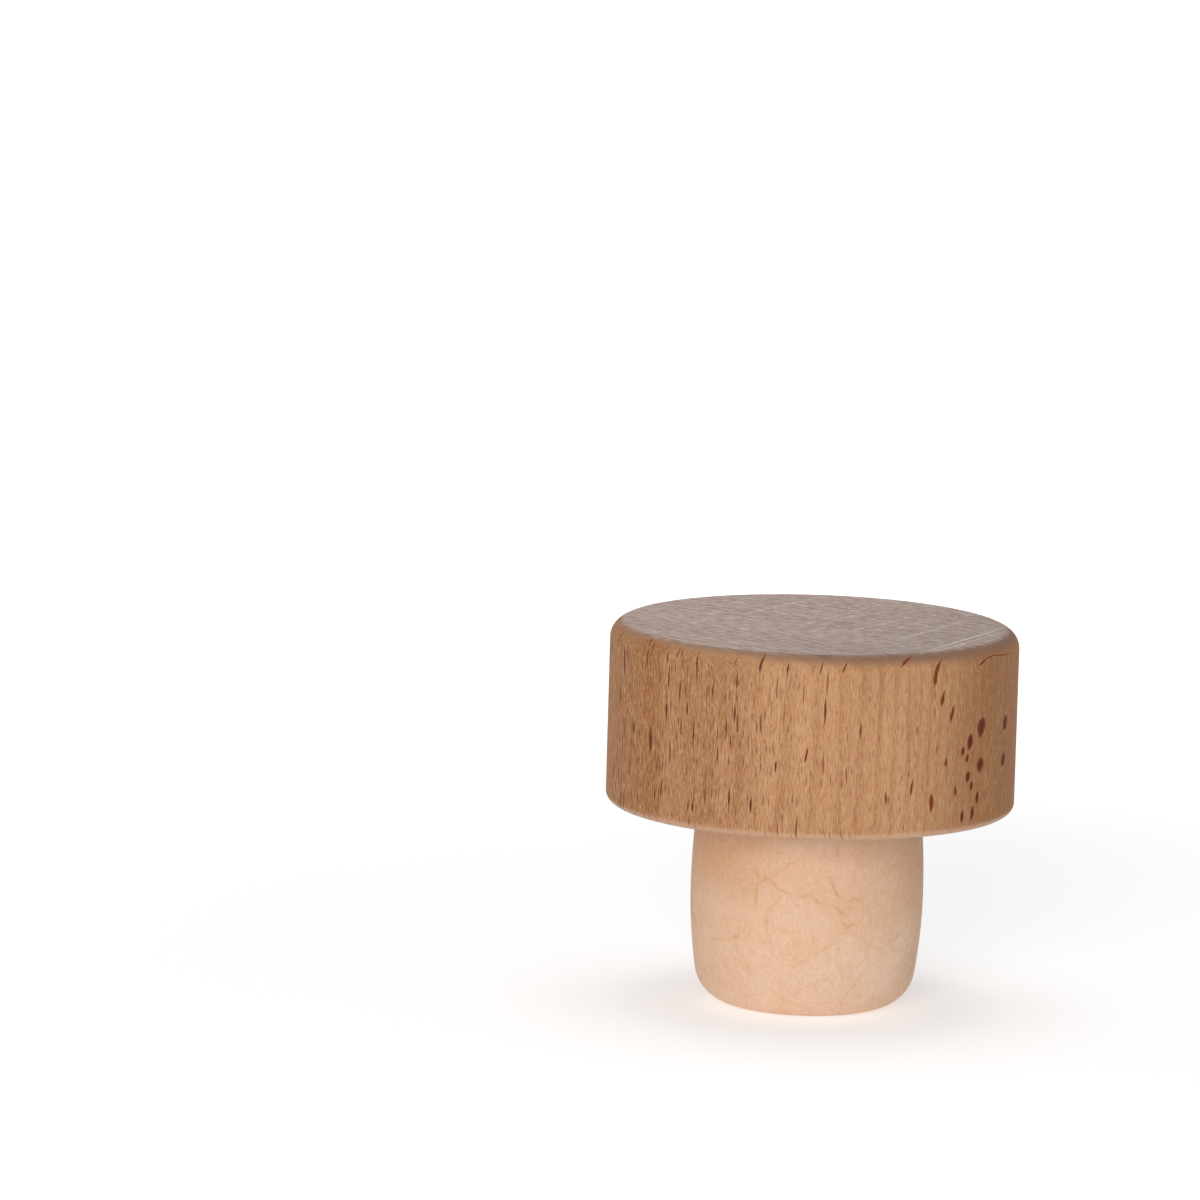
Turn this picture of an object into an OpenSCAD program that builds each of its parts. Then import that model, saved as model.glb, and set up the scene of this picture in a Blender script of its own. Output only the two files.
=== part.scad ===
// Bar-top bottle stopper: a turned beech head glued on a barrel-shaped cork shank.
// It stands on the shank's flat end. Millimetres, +Z up along the axis.
// The origin is the centre of the shank's end face.

/* [Head] */
// Diameter of the head
head_d = 34; // [26:0.5:60]
// Height of the head, from its seat face to its top face
head_h = 15.2; // [11:0.1:30]
// Radius of the round along the top rim
rim_r = 1.5; // [0.3:0.1:4]
// Radius of the round along the lower edge
edge_r = 0.8; // [0.2:0.1:3]

/* [Shank] */
// Length of the shank below the head
shank_l = 16.7; // [12:0.1:40]
// Largest diameter of the barrel, the one that seals in a bottle's mouth
belly_d = 19.4; // [16:0.1:30]
// Height of the largest diameter above the end face
belly_z = 9.5; // [6:0.1:11.5]
// How far the barrel's side draws in from the belly up to the head
neck_taper = 0.4; // [0.1:0.1:2]
// How far it draws in from the belly down to the end face, before the end is rounded
end_taper = 1.05; // [0.1:0.05:2]
// Radius of the round around the end
end_r = 3.2; // [0.5:0.1:5]

/* [Glue joint] */
// How far the shank reaches into the head
tenon_l = 5; // [3:0.1:8]
// Gap for glue all round the tenon
glue_gap = 0.05; // [0.02:0.01:0.3]
// Chamfer on the tenon's top edge, which leaves room for glue in the socket's corner
tenon_chamfer = 0.4; // [0.1:0.1:1]

/* [Hidden] */
$fn = 128;
head_radius = head_d / 2;
belly_radius = belly_d / 2;
neck_radius = belly_radius - neck_taper;
top_z = shank_l + head_h;
// How far a shape that cuts or trims reaches past the stock
overcut = 1;
// The barrel's side is two arcs that meet at the belly and share its tangent
upper_arc_r = barrel_arc(shank_l - belly_z, neck_taper);
lower_arc_r = barrel_arc(belly_z, end_taper);
// The end round touches the end face and lies inside the lower arc
round_sin = (end_r - belly_z) / (lower_arc_r - end_r);
round_cos = sqrt(1 - round_sin * round_sin);
round_x = belly_radius - lower_arc_r + (lower_arc_r - end_r) * round_cos;
touch = [round_x + end_r * round_cos, end_r + end_r * round_sin];

// Radius of an arc that falls by drop over a height
function barrel_arc(height, drop) = (height * height + drop * drop) / (2 * drop);

// A ring of stock from the axis outwards, between two heights
module band(radius, z0, z1) {
    translate([0, z0]) square([radius, z1 - z0]);
}

// Part of a disc beside the axis, between two heights
module disc_band(centre, radius, z0, z1) {
    intersection() {
        translate(centre) circle(r = radius);
        band(belly_radius + overcut, z0, z1);
    }
}

module head_outline() {
    band(head_radius - rim_r, shank_l, top_z);
    band(head_radius - edge_r, shank_l, top_z - rim_r);
    band(head_radius, shank_l + edge_r, top_z - rim_r);
    translate([head_radius - rim_r, top_z - rim_r]) circle(r = rim_r);
    translate([head_radius - edge_r, shank_l + edge_r]) circle(r = edge_r);
}

// Turned beech, with its grain along the axis and a flat-bottomed socket for the shank
module wooden_head() {
    color("burlywood")
    rotate_extrude()
    difference() {
        head_outline();
        band(neck_radius + glue_gap, shank_l - overcut, shank_l + tenon_l);
    }
}

module barrel_outline() {
    disc_band([belly_radius - upper_arc_r, belly_z], upper_arc_r, belly_z, shank_l);
    disc_band([belly_radius - lower_arc_r, belly_z], lower_arc_r, touch[1], belly_z);
    translate([round_x, end_r]) circle(r = end_r);
    polygon([[0, 0], [round_x, 0], [round_x, end_r], touch, [0, touch[1]]]);
}

module tenon_outline() {
    tenon_z = shank_l + tenon_l;
    polygon([
        [0, shank_l], [neck_radius, shank_l],
        [neck_radius, tenon_z - tenon_chamfer], [neck_radius - tenon_chamfer, tenon_z], [0, tenon_z]
    ]);
}

// Smooth moulded cork, its tenon seated on the socket's floor
module cork_shank() {
    color("peachpuff")
    rotate_extrude()
    union() {
        barrel_outline();
        tenon_outline();
    }
}

wooden_head();
cork_shank();
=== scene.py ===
"""Bottle stopper: a turned beech head glued on a smooth, barrel-shaped cork shank."""

import math

import bmesh
import bpy
from mathutils import Matrix, Vector


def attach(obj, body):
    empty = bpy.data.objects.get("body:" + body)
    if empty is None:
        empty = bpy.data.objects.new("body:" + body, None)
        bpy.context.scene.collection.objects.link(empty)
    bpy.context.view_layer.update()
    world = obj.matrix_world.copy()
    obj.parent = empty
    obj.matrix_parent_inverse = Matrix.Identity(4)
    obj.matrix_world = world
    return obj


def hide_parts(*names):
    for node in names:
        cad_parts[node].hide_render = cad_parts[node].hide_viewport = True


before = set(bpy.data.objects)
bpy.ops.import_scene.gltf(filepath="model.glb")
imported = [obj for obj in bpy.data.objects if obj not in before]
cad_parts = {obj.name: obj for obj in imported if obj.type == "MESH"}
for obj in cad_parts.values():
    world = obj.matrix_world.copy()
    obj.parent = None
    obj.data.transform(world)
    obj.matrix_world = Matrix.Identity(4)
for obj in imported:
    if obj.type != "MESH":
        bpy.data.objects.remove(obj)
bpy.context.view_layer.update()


# Shank: one smooth piece of moulded cork, a low barrel with a well rounded end.
# It is pressed in a mould, so it shows no granules, only faint veins and patches.
# Its upper end is a straight tenon, glued into the socket in the head.
MM = 0.001
belly_r = 9.7 * MM
belly_z = 9.5 * MM
neck_r = 9.3 * MM
shank_l = 16.7 * MM
end_taper = 1.05 * MM
end_round_r = 3.2 * MM
tenon_l = 5.0 * MM
tenon_chamfer = 0.4 * MM
merge_distance = 0.0005 * MM
TURNS = 256
BARREL_STEPS = 12
END_STEPS = 24
CORNER = math.radians(30)
cork_colour = (0.770, 0.512, 0.352)
cork_patch_colour = (0.715, 0.420, 0.245)
cork_vein_colour = (0.460, 0.140, 0.035)
cork_pale_colour = (0.845, 0.612, 0.455)
# Painted shade under the head multiplies the colour by this tone
painted_shade_tone = (0.831, 0.732, 0.625)
# Painted light towards the end and low on the right multiplies the colour by this tone
painted_light_tone = (1.097, 1.195, 1.293)
cork_border_colour = (0.680, 0.370, 0.190)
cork_roughness = 0.65
cork_shine = 0.30
cork_relief = 0.03 * MM


def arc(bm, start, centre, angle, steps):
    """Carries a vertex of the outline round a centre, and returns the last vertex of the arc."""
    swept = bmesh.ops.spin(
        bm, geom=[start], cent=centre, axis=(0, 1, 0), angle=angle, steps=steps, use_merge=False
    )
    return [v for v in swept["geom_last"] if isinstance(v, bmesh.types.BMVert)][0]


def line(bm, start, x, z):
    """Draws a straight line of the outline and returns its end."""
    end = bm.verts.new((x, 0, z))
    bm.edges.new((start, end))
    return end


def turned(bm, name):
    """Turns an outline about the axis into a closed solid, shaded smooth, that rides on the stopper."""
    bmesh.ops.spin(
        bm, geom=bm.verts[:] + bm.edges[:], cent=(0, 0, 0), axis=(0, 0, 1),
        angle=math.tau, steps=TURNS, use_merge=True
    )
    bmesh.ops.remove_doubles(bm, verts=bm.verts, dist=merge_distance)
    bmesh.ops.recalc_face_normals(bm, faces=bm.faces)
    for face in bm.faces:
        face.smooth = True
    for edge in bm.edges:
        edge.smooth = edge.calc_face_angle() < CORNER
    mesh = bpy.data.meshes.new(name)
    bm.to_mesh(mesh)
    bm.free()
    piece = bpy.data.objects.new(name, mesh)
    bpy.context.scene.collection.objects.link(piece)
    piece.modifiers.new("even shading", "WEIGHTED_NORMAL").keep_sharp = True
    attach(piece, "root")
    return piece


def barrel_arc_radius(height, drop):
    """Radius of an arc that falls by drop over a height."""
    return (height * height + drop * drop) / (2 * drop)


upper_arc_r = barrel_arc_radius(shank_l - belly_z, belly_r - neck_r)
lower_arc_r = barrel_arc_radius(belly_z, end_taper)
upper_angle = math.asin((shank_l - belly_z) / upper_arc_r)
round_angle = math.asin((belly_z - end_round_r) / (lower_arc_r - end_round_r))
round_x = belly_r - lower_arc_r + (lower_arc_r - end_round_r) * math.cos(round_angle)

outline = bmesh.new()
belly = outline.verts.new((belly_r, 0, belly_z))
seat = arc(outline, belly, (belly_r - upper_arc_r, 0, belly_z), -upper_angle, BARREL_STEPS)
tenon_edge = line(outline, seat, neck_r, shank_l + tenon_l - tenon_chamfer)
tenon_top = line(outline, tenon_edge, neck_r - tenon_chamfer, shank_l + tenon_l)
line(outline, tenon_top, 0, shank_l + tenon_l)
lower = arc(outline, belly, (belly_r - lower_arc_r, 0, belly_z), round_angle, BARREL_STEPS)
end = arc(outline, lower, (round_x, 0, end_round_r), math.pi / 2 - round_angle, END_STEPS)
line(outline, end, 0, 0)
shank = turned(outline, "shank")


def add(tree, kind, inputs=None, **settings):
    """Adds a shader node. An input is a value, or the output of another node."""
    made = tree.nodes.new("ShaderNode" + kind)
    for name, value in settings.items():
        setattr(made, name, value)
    for name, value in (inputs or {}).items():
        if isinstance(value, bpy.types.NodeSocket):
            tree.links.new(value, made.inputs[name])
        else:
            made.inputs[name].default_value = value
    return made


def calc(tree, operation, *values):
    """One step of arithmetic on numbers or outputs."""
    return add(tree, "Math", dict(enumerate(values)), operation=operation).outputs["Value"]


def times(tree, first, second):
    """One number or output times another."""
    return calc(tree, "MULTIPLY", first, second)


def calc_place(tree, operation, *values):
    """One step of arithmetic on places, part by part."""
    return add(tree, "VectorMath", dict(enumerate(values)), operation=operation).outputs["Vector"]


def join(tree, x, y, z):
    """A place, made of its three parts."""
    return add(tree, "CombineXYZ", {"X": x, "Y": y, "Z": z}).outputs["Vector"]


def split(tree, vector):
    """The three parts of a place or a direction."""
    parts = add(tree, "SeparateXYZ", {"Vector": vector}).outputs
    return parts["X"], parts["Y"], parts["Z"]


def split_colour(tree, colour):
    """The three parts of a colour, used as three numbers of chance."""
    parts = add(tree, "SeparateColor", {"Color": colour}).outputs
    return parts["Red"], parts["Green"], parts["Blue"]


def fade(tree, value, start, end, low=0.0, high=1.0):
    """Goes softly from low to high while the value goes from start to end."""
    inputs = {"Value": value, "From Min": start, "From Max": end, "To Min": low, "To Max": high}
    return add(tree, "MapRange", inputs, interpolation_type="SMOOTHSTEP").outputs["Result"]


def place(tree, vector, scale=(1, 1, 1), turn=0.0, shift=(0, 0, 0)):
    """Scales a place and turns it about the stopper's axis. A shift gives a pattern another start."""
    inputs = {"Vector": vector, "Scale": scale, "Rotation": (0, 0, turn), "Location": shift}
    return add(tree, "Mapping", inputs).outputs["Vector"]


def unrolled(tree, x, y, radius):
    """Distance round a side of a radius in millimetres, from the place where y is least."""
    return times(tree, calc(tree, "ARCTAN2", x, times(tree, y, -1.0)), radius)


def noise(tree, vector, scale=1.0, detail=2.0, roughness=0.5, output="Fac"):
    """Soft noise between 0 and 1."""
    inputs = {"Vector": vector, "Scale": scale, "Detail": detail, "Roughness": roughness}
    return add(tree, "TexNoise", inputs).outputs[output]


def tint(tree, factor, colour, over, blend="MIX"):
    """Lays one colour over another by a factor."""
    made = add(tree, "Mix", data_type="RGBA", blend_type=blend)
    pairs = (("Factor_Float", factor), ("A_Color", over), ("B_Color", colour))
    for identifier, value in pairs:
        socket = next(s for s in made.inputs if s.identifier == identifier)
        if isinstance(value, bpy.types.NodeSocket):
            tree.links.new(value, socket)
        elif isinstance(value, tuple):
            socket.default_value = (*value, 1.0)
        else:
            socket.default_value = value
    return next(s for s in made.outputs if s.identifier == "Result_Color")


def lay(tree, colour, layers):
    """Lays colours over a colour. A layer: its pattern, where that starts and is full, strength, colour."""
    for pattern, start, full, strength, layer_colour in layers:
        colour = tint(tree, fade(tree, pattern, start, full, 0.0, strength), layer_colour, colour)
    return colour


def finish_material(name):
    """Makes a material and returns it with its tree and its main shader."""
    material = bpy.data.materials.new(name)
    material.use_nodes = True
    tree = material.node_tree
    return material, tree, tree.nodes["Principled BSDF"]


# Fine streaks along the axis, which both pieces show: fibres in the beech, drawing marks in the cork
streaks = bpy.data.node_groups.new("fine streaks", "ShaderNodeTree")
streaks.interface.new_socket("Millimetres", in_out="INPUT", socket_type="NodeSocketVector")
streaks.interface.new_socket("Width", in_out="INPUT", socket_type="NodeSocketFloat")
streaks.interface.new_socket("Length", in_out="INPUT", socket_type="NodeSocketFloat")
streaks.interface.new_socket("Streaks", in_out="OUTPUT", socket_type="NodeSocketFloat")
way_in = streaks.nodes.new("NodeGroupInput").outputs
way_out = streaks.nodes.new("NodeGroupOutput").inputs
per_width = calc(streaks, "DIVIDE", 1.0, way_in["Width"])
per_length = calc(streaks, "DIVIDE", 1.0, way_in["Length"])
squeeze = join(streaks, per_width, per_width, per_length)
squeezed = calc_place(streaks, "MULTIPLY", way_in["Millimetres"], squeeze)
streaks.links.new(noise(streaks, squeezed, detail=1.0), way_out["Streaks"])


def streaked(tree, vector, width, length):
    """Streaks of a width and a length in millimetres, between 0 and 1."""
    made = add(tree, "Group", node_tree=streaks)
    tree.links.new(vector, made.inputs["Millimetres"])
    made.inputs["Width"].default_value = width
    made.inputs["Length"].default_value = length
    return made.outputs["Streaks"]


# The materials' patterns are laid out in millimetres
TO_MM = (1 / MM,) * 3
cork, tree, shader = finish_material("moulded cork")
mm = place(tree, add(tree, "TexCoord").outputs["Object"], TO_MM)
right, back, height = split(tree, mm)

# Veins: the edges of bent cells, large and small, which come and go
cell_bend = 1.8
bend = noise(tree, mm, scale=0.45, detail=3.0, output="Color")
bend = calc_place(tree, "SUBTRACT", bend, (0.5, 0.5, 0.5))
bend = calc_place(tree, "MULTIPLY", bend, (cell_bend,) * 3)
bent = calc_place(tree, "ADD", mm, bend)


def veins(density, seed, first, full):
    """Thin lines and a soft border along the cells' edges, where their strength noise is first to full."""
    moved = place(tree, bent, shift=(seed, seed * 2.3, seed * 0.7))
    cells = add(tree, "TexVoronoi", {"Vector": moved, "Scale": density}, feature="DISTANCE_TO_EDGE")
    edge = cells.outputs["Distance"]
    strength = fade(tree, noise(tree, moved, scale=0.45, detail=1.0), first, full)
    core = times(tree, fade(tree, edge, 0.0, 0.075 * density, 1.0, 0.0), strength)
    border = times(tree, fade(tree, edge, 0.0, 0.30 * density, 1.0, 0.0), strength)
    return core, border


large_core, large_border = veins(density=0.27, seed=0.0, first=0.40, full=0.62)
small_core, small_border = veins(density=0.50, seed=4.0, first=0.47, full=0.70)
behind_front = fade(tree, back, -5.5, -1.5, 0.22, 1.0)
vein_core = calc(tree, "MAXIMUM", large_core, times(tree, small_core, 0.8))
vein_core = times(tree, vein_core, behind_front)
vein_border = calc(tree, "MAXIMUM", large_border, times(tree, small_border, 0.7))
vein_border = times(tree, vein_border, fade(tree, behind_front, 0.0, 1.0, 0.5, 1.0))

# The veins of the front, each a row of places: distance round the shank, and height
FRONT_VEINS = (
    ((-5.94, 11.59), (-4.79, 11.45), (-3.40, 12.01), (-2.17, 12.90), (-1.45, 13.53)),
    ((-4.76, 12.60), (-4.27, 11.99)),
    ((-4.43, 11.49), (-4.48, 10.02)),
    ((-3.22, 11.90), (-2.26, 10.92), (-1.68, 10.94), (-0.70, 10.57), (0.10, 10.88), (0.66, 10.20),
     (2.00, 10.05), (2.69, 9.37)),
    ((-2.49, 10.49), (-3.40, 9.15), (-3.54, 7.76), (-3.07, 6.79)),
    ((1.69, 12.20), (1.92, 11.47), (2.40, 10.63)),
    ((2.83, 10.34), (4.47, 10.43)),
    ((2.13, 14.93), (2.14, 14.10)),
    ((2.85, 8.41), (3.15, 8.15), (4.21, 8.39)),
    ((-9.32, 5.99), (-6.52, 6.58), (-5.90, 7.16)),
    ((-6.32, 5.97), (-5.36, 4.57), (-4.83, 3.82)),
    ((2.53, 6.30), (2.43, 5.45), (3.21, 3.44)),
    ((2.36, 6.84), (1.31, 6.36), (0.10, 5.79)),
    ((0.77, 3.57), (2.54, 3.77)),
    ((7.27, 6.37), (8.45, 6.98)),
    ((-1.51, 2.02), (-0.48, 2.75), (0.79, 3.06)),
)
FAR_OFF = 9.0
mean_side_r = 9.5
vein_wobble = 0.14
vein_half_width = 0.10
vein_full_width = 0.02
vein_border_width = 0.45


def off_lines(lines, across, up):
    """Distance to the nearest of some bent lines, each a row of places."""
    least = FAR_OFF
    for points in lines:
        for (x0, z0), (x1, z1) in zip(points, points[1:]):
            half = math.hypot(x1 - x0, z1 - z0) / 2
            run, rise = (x1 - x0) / half / 2, (z1 - z0) / half / 2
            middle_along = (x0 + x1) / 2 * run + (z0 + z1) / 2 * rise
            middle_off = (z0 + z1) / 2 * run - (x0 + x1) / 2 * rise
            along = calc(tree, "MULTIPLY_ADD", up, rise, -middle_along)
            along = calc(tree, "MULTIPLY_ADD", across, run, along)
            off = calc(tree, "MULTIPLY_ADD", up, run, -middle_off)
            off = calc(tree, "MULTIPLY_ADD", across, -rise, off)
            past_end = calc(tree, "SUBTRACT", calc(tree, "ABSOLUTE", along), half)
            past_end = calc(tree, "MAXIMUM", past_end, 0.0)
            off = calc(tree, "MULTIPLY_ADD", off, off, times(tree, past_end, past_end))
            least = calc(tree, "MINIMUM", off, least)
    return calc(tree, "SQRT", least)


around = unrolled(tree, right, back, mean_side_r)
wobble = split_colour(tree, noise(tree, mm, scale=1.5, output="Color"))
wavy_around = calc(tree, "ADD", around, fade(tree, wobble[0], 0.2, 0.8, -vein_wobble, vein_wobble))
wavy_height = calc(tree, "ADD", height, fade(tree, wobble[1], 0.2, 0.8, -vein_wobble, vein_wobble))
off_vein = off_lines(FRONT_VEINS, wavy_around, wavy_height)
clearness = fade(tree, noise(tree, mm, scale=0.8, detail=1.0), 0.38, 0.62, 0.45, 1.0)
clearness = times(tree, clearness, fade(tree, height, 3.0, 8.0, 0.45, 1.0))
front_core = times(tree, fade(tree, off_vein, vein_half_width, vein_full_width), clearness)
front_border = times(tree, fade(tree, off_vein, vein_border_width, 0.0), clearness)
vein_core = calc(tree, "MAXIMUM", vein_core, front_core)
vein_border = calc(tree, "MAXIMUM", vein_border, front_border)

# Pits: a few tiny darker dots
dots = add(tree, "TexVoronoi", {"Vector": mm, "Scale": 0.8}).outputs
pits = fade(tree, dots["Distance"], 0.04, 0.09, 1.0, 0.0)
pits = times(tree, pits, fade(tree, split_colour(tree, dots["Color"])[0], 0.20, 0.12))

# Patches and mottling: cloudy, warmer and paler by turns, with the faintest drawing marks
clouds = noise(tree, place(tree, mm, shift=(9, 4, 6)), scale=0.25, detail=3.0)
freckles = noise(tree, place(tree, mm, shift=(2, 8, 5)), scale=1.0, detail=3.0)
mottle = noise(tree, place(tree, mm, (1, 1, 0.7), shift=(5, 1, 3)), scale=4.2, roughness=0.6)
drawn = streaked(tree, mm, width=0.13, length=3.0)
colour = lay(tree, cork_colour, (
    (clouds, 0.44, 0.66, 0.42, cork_patch_colour),
    (freckles, 0.56, 0.72, 0.50, cork_patch_colour),
    (mottle, 0.50, 0.32, 0.46, cork_patch_colour),
    (mottle, 0.52, 0.70, 0.42, cork_pale_colour),
    (drawn, 0.35, 0.65, 0.045, cork_vein_colour),
))

# Painted shade: darker under the head, where its shadow falls, most of all on the left
painted_shade_left = fade(tree, right, -1.0, -7.0, 0.20, 0.90)
painted_shade_right = fade(tree, right, 5.0, 8.5, 0.0, 0.50)
painted_shade = times(tree, calc(tree, "MAXIMUM", painted_shade_left, painted_shade_right), fade(tree, height, 8.0, 13.0))
# Painted light: paler towards the end from the white table, and low on the right, a painted reflection of the
# white surround
painted_light_right = times(tree, fade(tree, right, -2.0, 8.5, 0.10, 0.92), fade(tree, height, 10.5, 5.0))
painted_light = calc(tree, "MAXIMUM", painted_light_right, fade(tree, height, 3.0, 0.6, 0.0, 0.60))
colour = tint(tree, painted_shade, painted_shade_tone, colour, "MULTIPLY")
colour = tint(tree, painted_light, painted_light_tone, colour, "MULTIPLY")

# The veins and the pits lie over it all, each with its own strength
colour = tint(tree, times(tree, vein_border, 0.40), cork_border_colour, colour)
colour = tint(tree, times(tree, vein_core, 0.26), cork_vein_colour, colour)
colour = tint(tree, times(tree, pits, 0.35), cork_vein_colour, colour)
tree.links.new(colour, shader.inputs["Base Color"])
shader.inputs["Roughness"].default_value = cork_roughness
shader.inputs["Specular IOR Level"].default_value = cork_shine
uneven = noise(tree, mm, scale=1.2, detail=3.0)
bump = add(tree, "Bump", {"Height": uneven, "Strength": 0.35, "Distance": cork_relief})
tree.links.new(bump.outputs["Normal"], shader.inputs["Normal"])
shank.data.materials.append(cork)
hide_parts("cork_shank")


# Head: a disc of beech, turned with the grain along its axis and sanded, left bare or barely waxed.
# The top is end grain. The rim has a full round and the lower edge a small one.
# The flat underside is bored for the shank's tenon, and rests on the bottle's mouth.
head_r = 17.0 * MM
head_h = 15.2 * MM
top_z = shank_l + head_h
rim_round_r = 1.5 * MM
lower_round_r = 0.8 * MM
glue_gap = 0.05 * MM
RIM_STEPS = 24
LOWER_STEPS = 16
ray_turn = math.radians(60)
pith_distance = 240.3
ring_spacing = 0.95
ring_lean = 0.015
ring_wander = 1.5
ray_bend = 1.2
ray_length = 14.0
ray_raggedness = 0.20
pore_spacing = 0.27
pore_row_l = 1.25
beech_colour = (0.560, 0.302, 0.150)
beech_dark_colour = (0.270, 0.108, 0.040)
beech_pale_colour = (0.650, 0.405, 0.215)
beech_red_colour = (0.450, 0.180, 0.080)
beech_straw_colour = (0.560, 0.345, 0.155)
beech_warm_colour = (0.315, 0.115, 0.032)
# Painted light on the lower round, a painted reflection of the white table:
painted_table_light_colour = (0.620, 0.400, 0.270)
beech_end_colour = (0.370, 0.210, 0.130)
beech_end_dark_colour = (0.130, 0.062, 0.034)
beech_end_ray_colour = (0.500, 0.320, 0.200)
beech_ray_colour = (0.110, 0.020, 0.005)
beech_red_ray_colour = (0.190, 0.034, 0.005)
beech_fleck_colour = (0.110, 0.012, 0.001)
beech_side_roughness = 0.80
beech_edge_roughness = 0.45
beech_shine = 0.28
beech_relief = 0.04 * MM

outline = bmesh.new()
axis_top = outline.verts.new((0, 0, top_z))
rim = line(outline, axis_top, head_r - rim_round_r, top_z)
rim = arc(outline, rim, (head_r - rim_round_r, 0, top_z - rim_round_r), math.pi / 2, RIM_STEPS)
lower = line(outline, rim, head_r, shank_l + lower_round_r)
lower_centre = (head_r - lower_round_r, 0, shank_l + lower_round_r)
lower = arc(outline, lower, lower_centre, math.pi / 2, LOWER_STEPS)
mouth = line(outline, lower, neck_r + glue_gap, shank_l)
corner = line(outline, mouth, neck_r + glue_gap, shank_l + tenon_l)
line(outline, corner, 0, shank_l + tenon_l)
head = turned(outline, "head")

beech, tree, shader = finish_material("turned beech")
coordinates = add(tree, "TexCoord").outputs
mm = place(tree, coordinates["Object"], TO_MM, turn=-ray_turn)
radial, side, height = split(tree, mm)

# Growth rings are arcs about a distant pith, and the rays run from it
from_pith = calc(tree, "SUBTRACT", pith_distance, radial)
ring_radius = calc(tree, "ADD", times(tree, from_pith, from_pith), times(tree, side, side))
ring_radius = calc(tree, "SQRT", ring_radius)
ray_side = times(tree, calc(tree, "ARCTAN2", side, from_pith), pith_distance)

# Rings: a slow darkening towards the late wood, which ends at a sharp line
wander = noise(tree, place(tree, mm, (0.12, 0.12, 0.05)))
ring_count = calc(tree, "ADD", ring_radius, times(tree, height, ring_lean))
ring_count = calc(tree, "DIVIDE", ring_count, ring_spacing)
ring_count = calc(tree, "ADD", ring_count, times(tree, wander, ring_wander))
ring_phase = calc(tree, "FRACT", ring_count)
late_wood = times(tree, fade(tree, ring_phase, 0.45, 0.92), fade(tree, ring_phase, 0.94, 1.0, 1.0, 0.0))

# End grain shows on the top and the upper round, and on the flat underside. The lower round keeps the side
# grain, tinted pale with painted light.
FLAT_FROM = 0.85
FLAT = 0.995
facing_side, upright = split(tree, place(tree, coordinates["Normal"], turn=-ray_turn))[1:]
rim_start = fade(tree, side, -13.0, 1.0, 0.28, 0.64)
rim_grain = fade(tree, upright, rim_start, calc(tree, "MULTIPLY_ADD", rim_start, 0.35, 0.74))
end_grain = calc(tree, "MAXIMUM", rim_grain, fade(tree, upright, -0.93, -1.0))
outward = calc(tree, "SQRT", calc(tree, "SUBTRACT", 1.0, times(tree, upright, upright)))
outward = calc(tree, "MAXIMUM", outward, 0.05)
along_rays = calc(tree, "ABSOLUTE", calc(tree, "DIVIDE", facing_side, outward))
along_rays = fade(tree, along_rays, 0.87, 0.98)
flat_end = fade(tree, calc(tree, "ABSOLUTE", upright), FLAT_FROM, FLAT)
flat_top = fade(tree, upright, FLAT_FROM, FLAT)
lower_edge = times(tree, fade(tree, upright, -0.05, -0.55), fade(tree, upright, -0.99, -0.93))

# Where the rays are crowded and broad, and where fewer or more of them cross the rim
crowding = fade(tree, side, -14.0, 6.0, -0.14, 0.20)
crowding = calc(tree, "SUBTRACT", crowding, fade(tree, side, -15.4, -16.6, 0.0, 0.25))
broadening = times(tree, fade(tree, side, 0.0, 8.0, 1.0, 1.25), fade(tree, side, 9.0, 13.0, 1.0, 0.8))
rim_share = fade(tree, radial, 0.0, -4.0, 0.10, -0.16)


def rays(cell_width, cell_height, share, half_width, half_height, seed):
    """Lens-shaped rays in the plane across them, each with its own size, and running along the radius."""
    bend = noise(tree, place(tree, mm, (0.08, 0.2, 0.10), shift=(seed, 0, 0)))
    across = calc(tree, "ADD", ray_side, times(tree, bend, ray_bend))
    cells_across = calc(tree, "DIVIDE", across, cell_width)
    cells_up = calc(tree, "DIVIDE", height, cell_height)
    up_shift = seed * 7.7
    flat = place(tree, join(tree, cells_across, cells_up, 0.0), shift=(seed * 3.1, up_shift, 0))
    cell = add(tree, "TexVoronoi", {"Vector": flat, "Scale": 1.0}, voronoi_dimensions="2D").outputs
    off_across, off_up = split(tree, calc_place(tree, "SUBTRACT", flat, cell["Position"]))[:2]
    chance, size, tone = split_colour(tree, cell["Color"])
    size = fade(tree, size, 0.0, 1.0, 0.6, 1.2)
    spread = times(tree, size, times(tree, broadening, half_width))
    spread = calc(tree, "DIVIDE", spread, cell_width)
    wide = calc(tree, "DIVIDE", calc(tree, "ABSOLUTE", off_across), spread)
    tall = calc(tree, "DIVIDE", off_up, times(tree, size, half_height / cell_height))
    edge = calc(tree, "SUBTRACT", calc(tree, "SUBTRACT", 1.0, wide), times(tree, tall, tall))
    lens = fade(tree, edge, 0.0, 0.25)
    own_height = calc(tree, "SUBTRACT", split(tree, cell["Position"])[1], up_shift)
    own_height = times(tree, own_height, cell_height)
    own_share = calc(tree, "ADD", share, fade(tree, own_height, 29.6, 30.4, 0.0, rim_share))
    kept = calc(tree, "LESS_THAN", chance, calc(tree, "ADD", crowding, own_share))
    reach = join(tree, times(tree, tone, 90.0), calc(tree, "DIVIDE", radial, ray_length), seed)
    reach = noise(tree, reach, detail=0.0)
    shown_from = fade(tree, flat_end, 0.0, 1.0, 0.25, 0.42)
    strength = fade(tree, reach, shown_from, calc(tree, "ADD", shown_from, 0.2))
    strength = times(tree, strength, fade(tree, tone, 0.0, 1.0, 0.65, 1.0))
    return times(tree, times(tree, lens, kept), strength)


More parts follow.
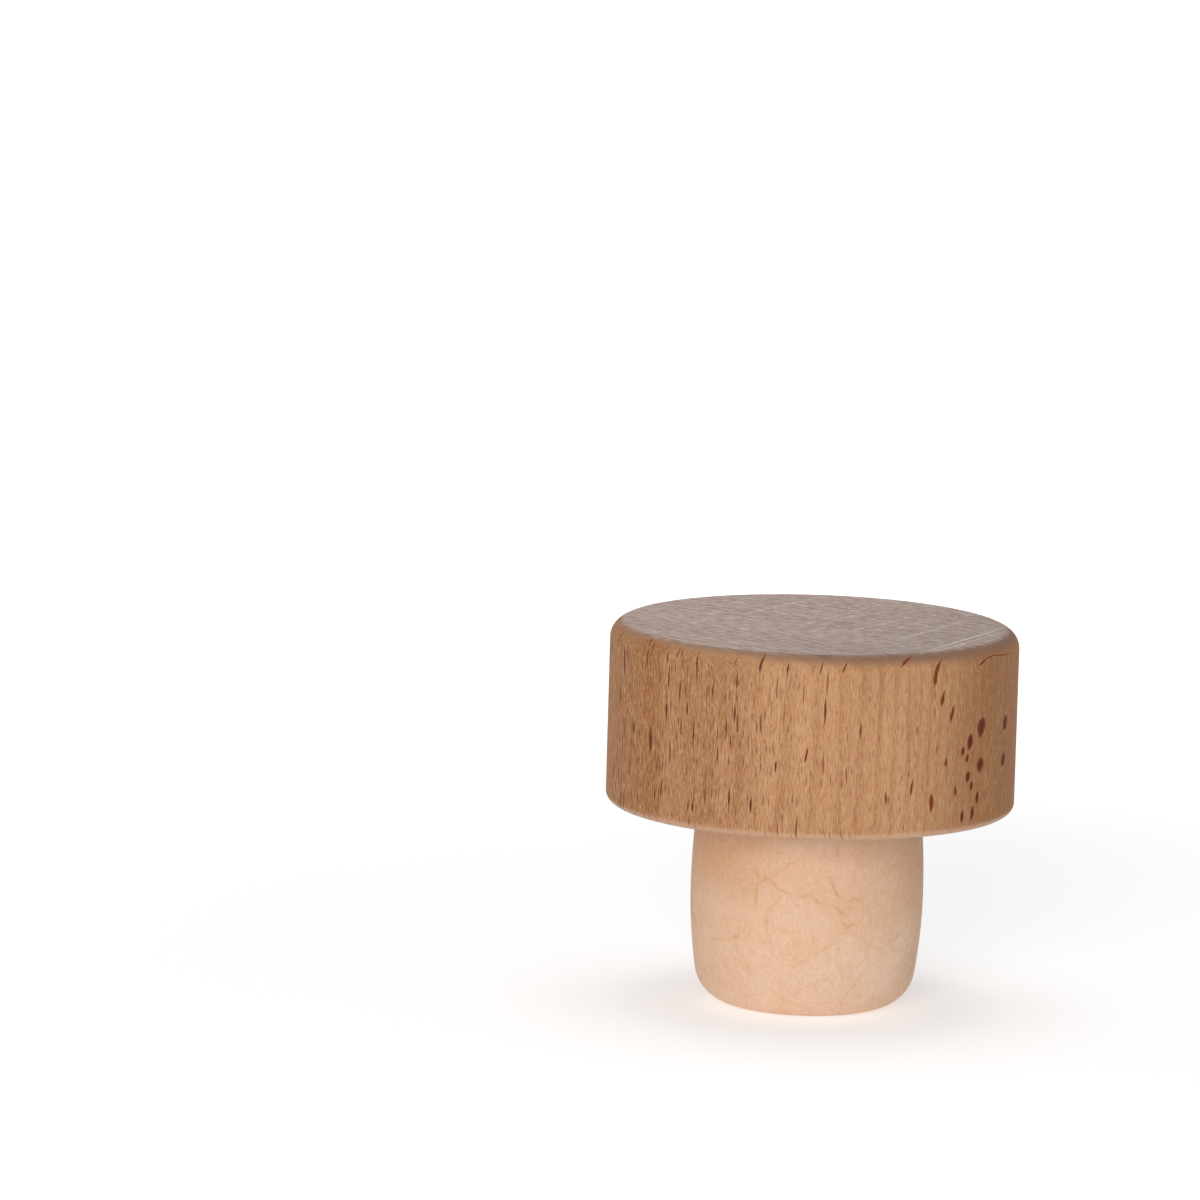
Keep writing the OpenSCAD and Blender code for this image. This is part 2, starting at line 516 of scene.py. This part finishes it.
big_share = calc(tree, "SUBTRACT", fade(tree, radial, 0.0, -4.0, 0.44, 0.20), times(tree, flat_end, 0.30))
big_rays = rays(
    cell_width=0.50, cell_height=2.9, share=big_share, half_width=0.072, half_height=1.05, seed=1.0
)
small_rays = rays(
    cell_width=0.33, cell_height=1.4, share=0.42, half_width=0.052, half_height=0.42, seed=5.0
)
big_rays = times(tree, big_rays, fade(tree, flat_end, 0.0, 1.0, 1.0, 0.6))
small_rays = times(tree, small_rays, fade(tree, end_grain, 0.0, 0.4, 0.7, 0.0))
rays_all = calc(tree, "MAXIMUM", big_rays, small_rays)
rays_all = times(tree, rays_all, fade(tree, side, -9.0, -2.0, 0.76, 1.0))
rays_all = times(tree, rays_all, calc(tree, "SUBTRACT", 1.0, times(tree, along_rays, 0.88)))

ragged = noise(tree, place(tree, mm, (4.0, 4.0, 1.6), shift=(6, 3, 1)), detail=1.0)
ragged = fade(tree, ragged, 0.3, 0.7, -ray_raggedness, ray_raggedness)


def nearest(marks, across, along, lens_shaped):
    """How far off the nearest mark is, as a share of its own size: about 1 on its ragged outline."""
    least = FAR_OFF
    for mark_across, mark_along, half_width, half_length, slant in marks:
        up = calc(tree, "MULTIPLY_ADD", along, 1 / half_length, -mark_along / half_length)
        off = calc(tree, "MULTIPLY_ADD", across, 1 / half_width, -mark_across / half_width)
        off = calc(tree, "MULTIPLY_ADD", up, -slant / 2 / half_width, off)
        off = calc(tree, "ABSOLUTE", off) if lens_shaped else times(tree, off, off)
        least = calc(tree, "MINIMUM", calc(tree, "MULTIPLY_ADD", up, up, off), least)
    return calc(tree, "ADD", least, ragged)


# The boldest rays of the front. Each has its place across the rays, height, half width, half height and
# slant.
BOLD_RAYS = (
    (-14.86, 30.31, 0.117, 1.3, -0.14), (-14.82, 19.66, 0.112, 0.92, -0.02), (-8.49, 27.53, 0.09, 1.3, 0.01),
    (-15.64, 26.83, 0.1, 0.82, -0.16), (1.53, 30.08, 0.078, 1.7, 0.15), (-3.76, 31.05, 0.103, 0.92, -0.04),
    (-13.08, 31.38, 0.12, 0.5, -0.23), (1.68, 24.69, 0.089, 1.25, -0.07), (-15.2, 28.12, 0.09, 0.72, -0.13),
    (-1.6, 19.83, 0.089, 0.95, 0.0), (5.96, 23.52, 0.089, 1.35, 0.01), (3.09, 27.96, 0.08, 1.0, -0.06),
    (-1.19, 25.49, 0.082, 0.95, -0.03), (-3.36, 19.43, 0.097, 0.65, 0.02), (-13.81, 21.04, 0.078, 0.8, -0.13),
    (4.24, 29.08, 0.094, 1.05, -0.07), (-7.31, 23.82, 0.085, 0.75, -0.18), (-1.96, 29.61, 0.078, 0.95, -0.08),
    (-1.85, 26.92, 0.078, 0.9, -0.01), (-10.8, 25.94, 0.067, 0.75, -0.05), (9.9, 29.71, 0.123, 1.1, -0.07),
    (-5.14, 22.75, 0.08, 0.6, -0.04), (-12.41, 20.23, 0.068, 0.7, 0.02), (-5.79, 30.72, 0.07, 0.65, 0.04),
    (-0.53, 23.27, 0.063, 0.85, 0.05), (1.55, 18.74, 0.082, 0.55, -0.02), (8.22, 24.09, 0.096, 0.75, -0.1),
    (-15.44, 22.86, 0.069, 0.42, -0.02), (2.32, 26.79, 0.069, 0.75, -0.06), (-8.1, 30.94, 0.059, 0.6, 0.01),
    (-9.6, 31.01, 0.069, 0.5, -0.1), (-15.88, 20.38, 0.061, 0.5, 0.01), (4.47, 30.76, 0.071, 0.65, 0.01),
    (6.7, 30.31, 0.085, 0.85, -0.05),
)
bold_rays = fade(tree, nearest(BOLD_RAYS, ray_side, height, lens_shaped=True), 1.12, 0.55)
bold_rays = times(tree, bold_rays, fade(tree, radial, -3.0, -1.0, 1.0, 0.0))
rays_all = calc(tree, "MAXIMUM", rays_all, bold_rays)

# The clearest rays of the top, each with its place across the rays and along the radius, and its sizes
TOP_RAYS = (
    (-4.42, 2.5, 0.08, 8.0, -1.26), (-9.31, 3.6, 0.08, 8.0, -0.31), (-13.66, -0.3, 0.13, 10.5, -0.42),
    (-14.40, -0.5, 0.08, 7.5, -0.65), (-8.81, -1.5, 0.05, 5.0, -1.30),
)
top_rays = fade(tree, nearest(TOP_RAYS, ray_side, radial, lens_shaped=True), 1.05, 0.55)
rays_all = calc(tree, "MAXIMUM", rays_all, times(tree, top_rays, flat_top))

# Flecks: where the side lies along the rays, they show as ovals with a red rim. Each has its place round
# the side, height, half width, half height and slant.
FLECKS = (
    (-2.02, 25.39, 0.55, 0.82, 0.22), (-3.53, 24.28, 0.34, 0.70, 0.16), (-2.05, 22.23, 0.46, 0.64, 0.20),
    (-3.65, 21.38, 0.28, 0.48, 0.14), (-4.36, 23.58, 0.20, 0.38, 0.10), (-3.80, 22.98, 0.16, 0.34, 0.08),
    (2.23, 25.14, 0.48, 0.66, 0.20), (2.08, 22.07, 0.44, 0.55, 0.20), (-2.31, 19.51, 0.22, 0.50, 0.12),
    (-3.17, 20.58, 0.19, 0.38, 0.10), (-4.21, 18.16, 0.20, 0.48, 0.10), (-2.94, 18.26, 0.22, 0.58, 0.12),
    (-2.10, 30.72, 0.20, 0.26, 1.15), (-1.00, 30.99, 0.34, 0.10, 1.50), (1.00, 30.93, 0.42, 0.16, -3.20),
)
around = unrolled(tree, radial, side, head_r / MM)
fleck = nearest(FLECKS, around, height, lens_shaped=False)
fleck_fade = fade(tree, end_grain, 0.5, 0.9, 1.0, 0.0)
flecks = times(tree, fade(tree, fleck, 1.25, 0.75), fleck_fade)
fleck_hearts = times(tree, fade(tree, fleck, 0.85, 0.25), fleck_fade)

# Side grain: darker towards the pith and along one side, with rings, fibres and open vessels
heart = fade(tree, radial, -10.0, -3.0, 0.0, 0.42)
flank = fade(tree, side, -10.0, 5.0, 0.0, 0.56)
band = times(tree, fade(tree, side, 5.0, 5.5), fade(tree, side, 6.0, 11.0, 0.85, 0.22))
band = calc(tree, "MAXIMUM", band, fade(tree, radial, -5.0, -1.5, 0.0, 0.48))
stroke_strength = fade(tree, side, -13.0, -1.0, 0.74, 1.12)
stroke_strength = calc(tree, "ADD", stroke_strength, fade(tree, side, 1.0, 9.0, 0.0, 0.36))
broad = streaked(tree, mm, width=0.7, length=12.0)
vessels = streaked(tree, mm, width=0.09, length=0.95)
fibre = streaked(tree, place(tree, mm, shift=(3, 5, 9)), width=0.070, length=0.45)
flush = streaked(tree, place(tree, mm, shift=(8, 2, 4)), width=0.16, length=0.8)
patches = noise(tree, place(tree, mm, (0.14, 0.14, 0.06), shift=(4, 9, 2)))
colour = tint(tree, calc(tree, "MAXIMUM", heart, flank), beech_dark_colour, beech_colour)
colour = tint(tree, band, beech_warm_colour, colour)
colour = lay(tree, colour, (
    (patches, 0.42, 0.70, 0.20, beech_dark_colour),
    (broad, 0.48, 0.70, 0.28, beech_dark_colour),
))
colour = tint(tree, times(tree, late_wood, 0.32), beech_dark_colour, colour)
colour = lay(tree, colour, (
    (flush, 0.52, 0.64, 0.42, beech_red_colour),
    (flush, 0.46, 0.34, 0.38, beech_straw_colour),
    (vessels, 0.45, 0.34, times(tree, stroke_strength, 0.44), beech_dark_colour),
    (vessels, 0.56, 0.66, times(tree, stroke_strength, 0.28), beech_pale_colour),
    (fibre, 0.44, 0.34, times(tree, stroke_strength, 0.38), beech_warm_colour),
    (fibre, 0.57, 0.66, times(tree, stroke_strength, 0.34), beech_pale_colour),
))
# Painted light: the lower round is tinted pale, a painted reflection of the white table below
colour = tint(tree, times(tree, lower_edge, 0.50), painted_table_light_colour, colour)

# End grain: ring lines, pores in short rows along the rings, and a dark spot near the middle
own_ring = add(tree, "TexWhiteNoise", {"W": calc(tree, "FLOOR", ring_count)}, noise_dimensions="1D")
end_rings = times(tree, late_wood, fade(tree, own_ring.outputs["Value"], 0.0, 1.0, 0.2, 0.75))
end_rings = times(tree, end_rings, flat_end)
pore_place = join(
    tree, calc(tree, "DIVIDE", ring_radius, pore_spacing), calc(tree, "DIVIDE", ray_side, pore_row_l), 0.0
)
pore_rows = noise(tree, pore_place, roughness=0.7)
pore_strength = fade(tree, side, -14.0, 4.0, 1.25, 0.80)
pore_strength = times(tree, pore_strength, fade(tree, flat_end, 0.0, 1.0, 0.35, 1.0))
dark_pores = times(tree, fade(tree, pore_rows, 0.55, 0.30, 0.0, 0.60), pore_strength)
pale_pores = times(tree, fade(tree, pore_rows, 0.52, 0.75, 0.0, 0.32), pore_strength)
spot_width = 3.0 * MM
spot_depth = 2.4 * MM
spot = place(tree, coordinates["Object"], (1 / spot_width, 1 / spot_depth, 0), shift=(-0.55, -0.35, 0))
off_spot = add(tree, "VectorMath", {0: spot}, operation="LENGTH").outputs["Value"]
end_colour = tint(tree, end_rings, beech_end_dark_colour, beech_end_colour)
end_colour = tint(tree, dark_pores, beech_end_dark_colour, end_colour)
end_colour = tint(tree, pale_pores, beech_colour, end_colour)
end_colour = tint(tree, fade(tree, off_spot, 0.1, 1.2, 0.42, 0.0), beech_end_dark_colour, end_colour)
end_colour = tint(tree, fade(tree, side, 4.0, -14.0, 0.0, 0.42), beech_end_dark_colour, end_colour)
colour = tint(tree, end_grain, end_colour, colour)

# The flecks and the rays lie over both
colour = tint(tree, times(tree, flecks, 0.95), beech_red_ray_colour, colour)
colour = tint(tree, times(tree, fleck_hearts, 0.90), beech_fleck_colour, colour)
ray_colour = tint(tree, fade(tree, side, -4.0, -13.0), beech_red_ray_colour, beech_ray_colour)
ray_colour = tint(tree, flat_end, beech_end_ray_colour, ray_colour)
ray_cover = times(tree, rays_all, fade(tree, flat_end, 0.0, 1.0, 1.0, 0.7))
colour = tint(tree, ray_cover, ray_colour, colour)
tree.links.new(colour, shader.inputs["Base Color"])

# The end grain is closed and shines at a low angle, most of all along the rays
end_roughness = fade(tree, pore_rows, 0.30, 0.70, 0.46, 0.20)
end_roughness = calc(tree, "ADD", end_roughness, times(tree, end_rings, 0.20))
ray_gloss = times(tree, rays_all, fade(tree, radial, -9.0, 1.0, 0.03, 0.26))
end_roughness = calc(tree, "SUBTRACT", end_roughness, ray_gloss)
side_roughness = fade(tree, lower_edge, 0.0, 1.0, beech_side_roughness, beech_edge_roughness)
roughness = add(
    tree, "Mix", {"Factor": flat_end, "A": side_roughness, "B": end_roughness}, data_type="FLOAT"
).outputs["Result"]
tree.links.new(roughness, shader.inputs["Roughness"])
shader.inputs["Specular IOR Level"].default_value = beech_shine

# Relief: vessels and fibres on the side, pores and rings on the end grain
side_relief = calc(tree, "ADD", times(tree, vessels, 0.6), times(tree, fibre, 0.4))
end_relief = calc(tree, "SUBTRACT", times(tree, pore_rows, pore_strength), times(tree, end_rings, 0.5))
relief = add(
    tree, "Mix", {"Factor": end_grain, "A": side_relief, "B": end_relief}, data_type="FLOAT"
).outputs["Result"]
bump = add(tree, "Bump", {"Height": relief, "Strength": 0.6, "Distance": beech_relief})
tree.links.new(bump.outputs["Normal"], shader.inputs["Normal"])
head.data.materials.append(beech)
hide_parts("wooden_head")


# Studio: the stopper stands on a wide white table, under soft lamps and a white surround.
# The table looks pure white, and keeps the stopper's shadow. From below it lets the view through.
table_r = 4.0
table_z = -0.02 * MM
TABLE_SIDES = 96
shadow_r = 0.05
white_from_r = 0.30
shadow_glow = 0.48
least_glow = 0.30
surround_light = 0.28
table_grey = (0.80, 0.80, 0.80, 1.0)
white = (1.0, 1.0, 1.0, 1.0)
outline = bmesh.new()
bmesh.ops.create_circle(
    outline, cap_ends=True, segments=TABLE_SIDES, radius=table_r, matrix=Matrix.Translation((0, 0, table_z))
)
table_mesh = bpy.data.meshes.new("table")
outline.to_mesh(table_mesh)
outline.free()
table = bpy.data.objects.new("table", table_mesh)
bpy.context.scene.collection.objects.link(table)


def sees_white(tree):
    """1 for the rays that see the white surround: from the camera, a gloss or through glass."""
    path = add(tree, "LightPath").outputs
    seen = calc(tree, "MAXIMUM", path["Is Camera Ray"], path["Is Glossy Ray"])
    return calc(tree, "MAXIMUM", seen, path["Is Transmission Ray"])


paper, tree, shader = finish_material("white table")
shader.inputs["Base Color"].default_value = table_grey
shader.inputs["Roughness"].default_value = 0.9
shader.inputs["Specular IOR Level"].default_value = 0.0
shader.inputs["Emission Color"].default_value = white
table_place = add(tree, "TexCoord").outputs["Object"]
from_stopper = add(tree, "VectorMath", {0: table_place}, operation="LENGTH").outputs["Value"]
glow = fade(tree, from_stopper, shadow_r, white_from_r, shadow_glow, 1.0)
glow = calc(tree, "MAXIMUM", times(tree, sees_white(tree), glow), least_glow)
tree.links.new(glow, shader.inputs["Emission Strength"])
from_below = add(tree, "NewGeometry").outputs["Backfacing"]
tree.links.new(calc(tree, "SUBTRACT", 1.0, from_below), shader.inputs["Alpha"])
table.data.materials.append(paper)


def lamp(name, stand, width, power):
    """A square soft lamp, aimed at the middle of the stopper."""
    light = bpy.data.lights.new(name, "AREA")
    light.size = width
    light.energy = power
    holder = bpy.data.objects.new(name, light)
    aim = Vector((0, 0, top_z / 2)) - Vector(stand)
    holder.matrix_world = Matrix.Translation(stand) @ aim.to_track_quat("-Z", "Y").to_matrix().to_4x4()
    bpy.context.scene.collection.objects.link(holder)


lamp("key", stand=(-0.30, -1.26, 0.30), width=0.65, power=9.8)
lamp("top", stand=(0.0, 0.10, 1.2), width=0.8, power=4.2)

world = bpy.data.worlds.new("white surround")
bpy.context.scene.world = world
world.use_nodes = True
tree = world.node_tree
background = tree.nodes["Background"]
background.inputs["Color"].default_value = white
surround = fade(tree, sees_white(tree), 0.0, 1.0, surround_light, 1.0)
tree.links.new(surround, background.inputs["Strength"])

# The camera stands a little above the stopper and looks slightly down
camera_dip = 0.1569
camera_roll = 0.0275
camera = bpy.data.cameras.new("camera")
camera.sensor_width = 36.0
camera.lens = 247.5
view_point = bpy.data.objects.new("camera", camera)
view_point.location = (-17.915 * MM, -676.26 * MM, 140.38 * MM)
view_point.rotation_mode = "ZYX"
view_point.rotation_euler = (math.pi / 2 - camera_dip, 0.0, camera_roll)
bpy.context.scene.collection.objects.link(view_point)
bpy.context.scene.camera = view_point
bpy.context.scene.view_settings.view_transform = "Standard"
